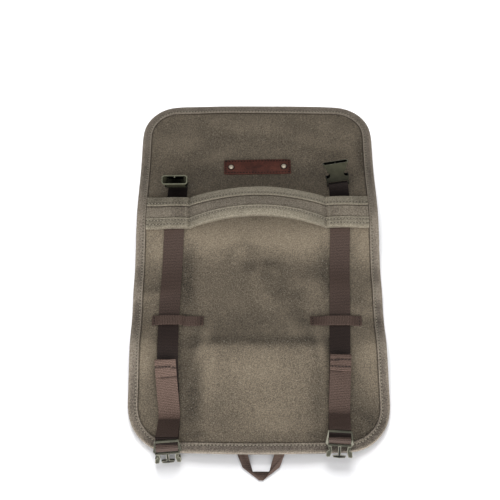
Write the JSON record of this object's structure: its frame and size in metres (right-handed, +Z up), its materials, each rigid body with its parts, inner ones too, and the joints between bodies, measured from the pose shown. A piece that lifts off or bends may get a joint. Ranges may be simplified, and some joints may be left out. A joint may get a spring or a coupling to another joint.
{
  "type": "tool roll",
  "caption": "Bound canvas tool roll laid open with its outer face up: grab handle, webbing straps with side-release buckles, leather label and hanging loop.",
  "frame": {"origin": "middle of the footprint, on the surface that the open roll lies on", "axes": "+Y along the roll towards the label, +Z up from the surface, +X across"},
  "size_m": [0.309, 0.5224, 0.0582],
  "materials": {
    "canvas": "waxed, heathered weave",
    "binding_tape": "folded canvas tape, stitched",
    "webbing": "ribbed nylon, slight sheen",
    "leather": "smooth, dyed",
    "buckle_plastic": "moulded, satin",
    "rivet_metal": "polished dome"
  },
  "bodies": {
    "root": {"canvas_panel": "canvas", "handle_band": "canvas", "edge_binding": "binding_tape", "handle_binding_upper": "binding_tape", "handle_binding_lower": "binding_tape", "strap_left": "webbing", "strap_right": "webbing", "strap_keeper_left": "webbing", "strap_keeper_right": "webbing", "hang_loop": "webbing", "buckle_clip_left": "buckle_plastic", "buckle_clip_right": "buckle_plastic", "buckle_socket_left": "buckle_plastic", "buckle_socket_right": "buckle_plastic", "leather_label": "leather", "label_rivet_left": "rivet_metal", "label_rivet_right": "rivet_metal"}
  },
  "joints": []
}
